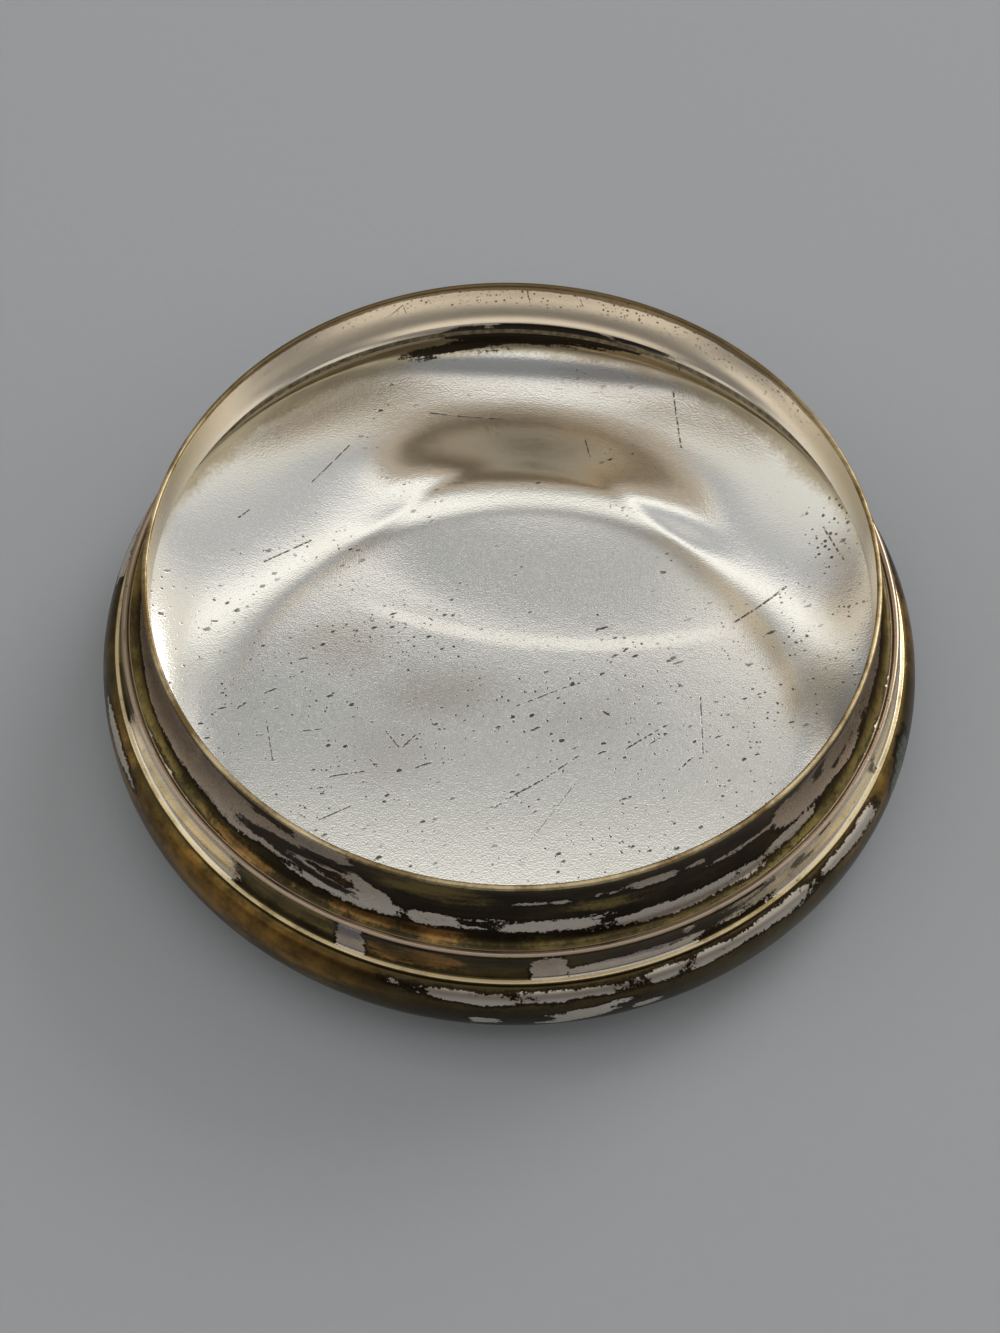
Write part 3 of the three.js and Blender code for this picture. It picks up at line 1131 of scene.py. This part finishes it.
def shell_marks(mix, wear, plan, bent, y):
    """Specks, dashes and broken lines, and one cluster of pits."""
    crowd = mix.add(mix.cloud(plan, 0.10, 2.0), mix.times(mix.rise(y, *NEAR_HALF), 0.45))
    shake = mix.point(mix.times(wear.fine, 0.22), mix.times(wear.fine, -0.14), 0.0)
    crooked = mix.vector("ADD", plan, shake)
    marks = []
    for degrees, stretch, scale, reach, share, crowded in PANEL_SPECKS:
        specks = mix.pits(mix.drawn_out(crooked, degrees, stretch), scale, *reach, share)
        marks.append(mix.times(specks, mix.rise(crowd, *crowded)))
    in_cluster = mix.rise(mix.blot(bent, *PIT_CLUSTER), 0.12, 0.5)
    marks.append(mix.times(mix.pits(plan, 1.5, 0.12, 0.36, 0.8), in_cluster))
    lines = [mix.scratch(plan, (*start, 0.0), (*end, 0.0), width) for start, end, width in SCRATCHES]
    broken = mix.rise(mix.cloud(plan, 2.0, 2.0), -0.35, 0.1)
    marks.append(mix.times(mix.most(*lines), broken))
    return mix.most(*marks)


def shell_finish():
    material, mix = new_finish("shell_worn_plate")
    place = mix.place()
    x, y, z = mix.parts(place)
    plan = mix.point(x, y, 0.0)
    inside = mix.rise(mix.field("inside"), 0.35, 0.65)
    wear = Wear(mix, place)
    blotches = mix.cloud(place, 0.5, 4.0, 0.6)
    drift = mix.cloud(plan, 0.10, 3.0)
    sway = mix.point(mix.times(drift, 2.5), mix.times(drift, -2.0), 0.0)
    bent = mix.vector("ADD", plan, sway)

    mottle = mix.weighed((wear.broad, 0.6), (blotches, 0.8), (wear.streaks, 0.5))
    brass = shell_brass(mix, wear, mottle)
    lift = mix.add(z, mix.times(wear.fine, 0.35), mix.times(wear.broad, 0.5))
    recess = mix.rise(lift, *RECESS_LIFT)
    panel = panel_plate(mix, wear, drift, bent, recess)
    smudged = wear.smudged(PALE_SILVER, MAUVE)
    rubbed = mix.blend(mix.rise(blotches, -0.2, 1.0), smudged, MAUVE, 0.5)
    colour, clean = wear.plated(brass, mix.blend(inside, rubbed, panel))

    eaten = mix.add(mix.field("corrosion"), mix.weighed((wear.fine, 0.35), (blotches, 0.6)))
    heart = mix.times(mix.rise(eaten, 0.35, 1.1), mix.rise(wear.fine, -0.5, 0.3))
    crust = mix.blend(heart, SOOT, VERDIGRIS)
    colour = mix.blend(mix.rise(eaten, -0.1, 0.25), colour, crust)
    level = mix.most(inside, mix.rise(z, *UNDERSIDE_LIFT))
    marks = mix.times(shell_marks(mix, wear, plan, bent, y), level)
    colour = mix.blend(marks, colour, PIT, 0.88)

    polished = mix.times(clean, inside)
    roughness = mix.line(polished, -PANEL_SMOOTHING, SHELL_ROUGHNESS)
    dulled = mix.times(recess, inside, RECESS_ROUGHENING)
    roughness = mix.add(roughness, mix.times(wear.fine, 0.01), dulled)
    grain = [(mix.cloud(plan, scale, detail), height) for scale, detail, height in PANEL_GRAIN]
    height = mix.weighed(*grain, (marks, -PIT_DEPTH))
    mix.metal(colour, roughness, mix.bump(height))
    return material


def solder_finish():
    material, mix = new_finish("dull_solder")
    lumps = mix.cloud(mix.place(), 1.2, 3.0)
    colour = mix.blend(mix.rise(lumps, -0.5, 0.7), SOLDER_DARK, SOLDER_PALE)
    roughness = mix.line(lumps, 0.08, 0.42)
    mix.metal(colour, roughness, mix.bump(mix.times(lumps, 0.03)))
    return material


# Pieces

def seat(piece, node):
    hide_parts(node)
    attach(piece, "root")


def make_shell(tree):
    outline, station = both_faces(*shell_outlines())
    piece = spun("spun_shell", tree, outline, station, False, shell_finish())
    press_dents(piece.data)
    wear_of_shell(piece.data)
    seat(piece, "dome_shell")


def make_collar(tree):
    outline, station = both_faces(*collar_outlines())
    piece = spun("spun_collar", tree, outline, station, True, collar_finish())
    wear_of_collar(piece.data)
    seat(piece, "collar_ring")


def make_solder(tree):
    outline = solder_outline()
    piece = spun("solder_film", tree, outline, lengths(outline), True, solder_finish())
    seat(piece, "solder_seam")


# Studio, with its lengths in metres

FLOOR_HALF = 4.0
FLOOR_GREY = (0.475, 0.495, 0.525)
FLOOR_SHADE = 0.97
FLOOR_ROUGHNESS = 0.85
FLOOR_GLOSS = 0.2

# Light of the room by height in degrees: 0 is level on the far side, 90 overhead, 180 level at the camera
ROOM = [
    (0, (0.28, 0.25, 0.21)),
    (46.5, (0.28, 0.25, 0.21)),
    (49.5, (0.245, 0.26, 0.285)),
    (59.5, (0.245, 0.26, 0.285)),
    (62, (0.43, 0.43, 0.405)),
    (64.5, (0.50, 0.50, 0.47)),
    (66.2, (1.15, 1.13, 1.07)),
    (71.5, (1.15, 1.13, 1.07)),
    (74.5, (0.38, 0.39, 0.42)),
    (78.5, (0.38, 0.39, 0.42)),
    (81.5, (0.72, 0.71, 0.66)),
    (90, (0.72, 0.71, 0.66)),
    (95, (1.00, 0.99, 0.96)),
    (101, (1.08, 1.07, 1.04)),
    (105, (0.20, 0.21, 0.22)),
    (121, (0.22, 0.225, 0.23)),
    (127, (0.88, 0.86, 0.82)),
    (136, (0.88, 0.86, 0.82)),
    (143, (0.24, 0.22, 0.20)),
    (150, (0.11, 0.10, 0.09)),
    (180, (0.07, 0.06, 0.055)),
]
# What the camera itself sees behind the floor
BACKDROP = (0.60, 0.61, 0.625)

# Brighter stretches of the far wall, in degrees: heights, sides, how they lean, and soft edges
BRIGHT_STRIP = {"height": (50.6, 56.6), "side": (-9.0, 9.5), "lean": 0.07, "soft": (0.6, 1.0)}
PALE_WALL = {"height": (44.0, 72.0), "side": (19.0, 60.0), "lean": 0.0, "soft": (3.0, 3.0)}
BRIGHT_PATCH = {"height": (55.5, 59.3), "side": (6.8, 20.0), "lean": 0.0, "soft": (0.8, 1.0)}
BRIGHTER = [
    (BRIGHT_STRIP, (1.05, 1.02, 0.96)),
    (PALE_WALL, (0.72, 0.69, 0.61)),
    (BRIGHT_PATCH, (0.90, 0.87, 0.81)),
]


def make_room():
    world = bpy.data.worlds.new("room")
    world.use_nodes = True
    bpy.context.scene.world = world
    mix = Recipe(world.node_tree)
    x, y, z = mix.parts(mix.node("ShaderNodeTexCoord").outputs["Generated"])
    height = mix.times(mix.maths("ARCTAN2", z, y), 180 / math.pi)
    side = mix.times(mix.maths("ARCSINE", x), 180 / math.pi)
    ramp = mix.node("ShaderNodeValToRGB", (0, mix.times(height, 1 / 180)))
    stops = ramp.color_ramp.elements
    while len(stops) < len(ROOM):
        stops.new(1.0)
    for stop, (degrees, colour) in zip(stops, ROOM):
        stop.position = degrees / 180
        stop.color = (*colour, 1.0)
    light = ramp.outputs[0]
    for stretch, brighter in BRIGHTER:
        leaning = mix.line(side, -stretch["lean"], height)
        upright = mix.between(leaning, *stretch["height"], stretch["soft"][0])
        sideways = mix.between(side, *stretch["side"], stretch["soft"][1])
        light = mix.blend(mix.times(upright, sideways), light, brighter)
    seen = mix.node("ShaderNodeLightPath").outputs["Is Camera Ray"]
    colour = mix.blend(seen, light, BACKDROP)
    mix.plug(world.node_tree.nodes["Background"].inputs["Color"], colour)


def make_floor():
    mesh = bpy.data.meshes.new("floor")
    corners = [(-1, -1), (1, -1), (1, 1), (-1, 1)]
    mesh.from_pydata([(x * FLOOR_HALF, y * FLOOR_HALF, 0.0) for x, y in corners], [], [(0, 1, 2, 3)])
    material, mix = new_finish("pale_floor")
    tone = mix.rise(mix.cloud(mix.place(), 0.6, 3.0), -1.5, 1.5)
    darker = tuple(value * FLOOR_SHADE for value in FLOOR_GREY)
    shader = material.node_tree.nodes["Principled BSDF"]
    mix.plug(shader.inputs["Base Color"], mix.blend(tone, darker, FLOOR_GREY))
    shader.inputs["Roughness"].default_value = FLOOR_ROUGHNESS
    shader.inputs["Specular IOR Level"].default_value = FLOOR_GLOSS
    mesh.materials.append(material)
    floor = bpy.data.objects.new("floor", mesh)
    bpy.context.scene.collection.objects.link(floor)


KEY_PLACE = (0.70, 0.82, 0.80)
KEY_SIZE = 0.7
KEY_POWER = 4.0


def make_key_light():
    lamp = bpy.data.lights.new("soft_key", "AREA")
    lamp.shape = "DISK"
    lamp.size = KEY_SIZE
    lamp.energy = KEY_POWER
    light = bpy.data.objects.new("soft_key", lamp)
    light.location = KEY_PLACE
    light.rotation_euler = (-Vector(KEY_PLACE)).to_track_quat("-Z", "Y").to_euler()
    bpy.context.scene.collection.objects.link(light)


# Camera, fitted to the rim and the circles below it: angle over the level and roll in radians, distance from
# the rim's middle, and how far right and up of the picture's middle that point lies
VIEW_HEIGHT = 1.01179
VIEW_ROLL = -0.02509
VIEW_DISTANCE = 195.16
VIEW_SHIFT = (1.382, 12.322)

# Lens: focal length and longer side of the picture in pixels, sensor, and nearest distance seen, in metres
LENS_PIXELS = 1800.0
FRAME_PIXELS = 1333.0
SENSOR = 36.0
NEAREST = 0.01


def make_camera():
    back = Vector((0.0, -math.cos(VIEW_HEIGHT), math.sin(VIEW_HEIGHT)))
    level_right = Vector((1.0, 0.0, 0.0))
    level_up = back.cross(level_right)
    right = math.cos(VIEW_ROLL) * level_right - math.sin(VIEW_ROLL) * level_up
    up = math.sin(VIEW_ROLL) * level_right + math.cos(VIEW_ROLL) * level_up
    eye = Vector((0.0, 0.0, RIM_TOP)) + back * VIEW_DISTANCE - right * VIEW_SHIFT[0] - up * VIEW_SHIFT[1]
    lens = bpy.data.cameras.new("camera")
    lens.sensor_width = SENSOR
    lens.lens = LENS_PIXELS * SENSOR / FRAME_PIXELS
    lens.clip_start = NEAREST
    camera = bpy.data.objects.new("camera", lens)
    turn = Matrix((right, up, back)).transposed().to_4x4()
    camera.matrix_world = Matrix.Translation(eye * MM) @ turn
    bpy.context.scene.collection.objects.link(camera)
    bpy.context.scene.camera = camera


bpy.context.scene.view_settings.view_transform = "Standard"
make_camera()
make_room()
make_floor()
make_key_light()
spin = spun_sheet_tree()
make_shell(spin)
make_collar(spin)
make_solder(spin)
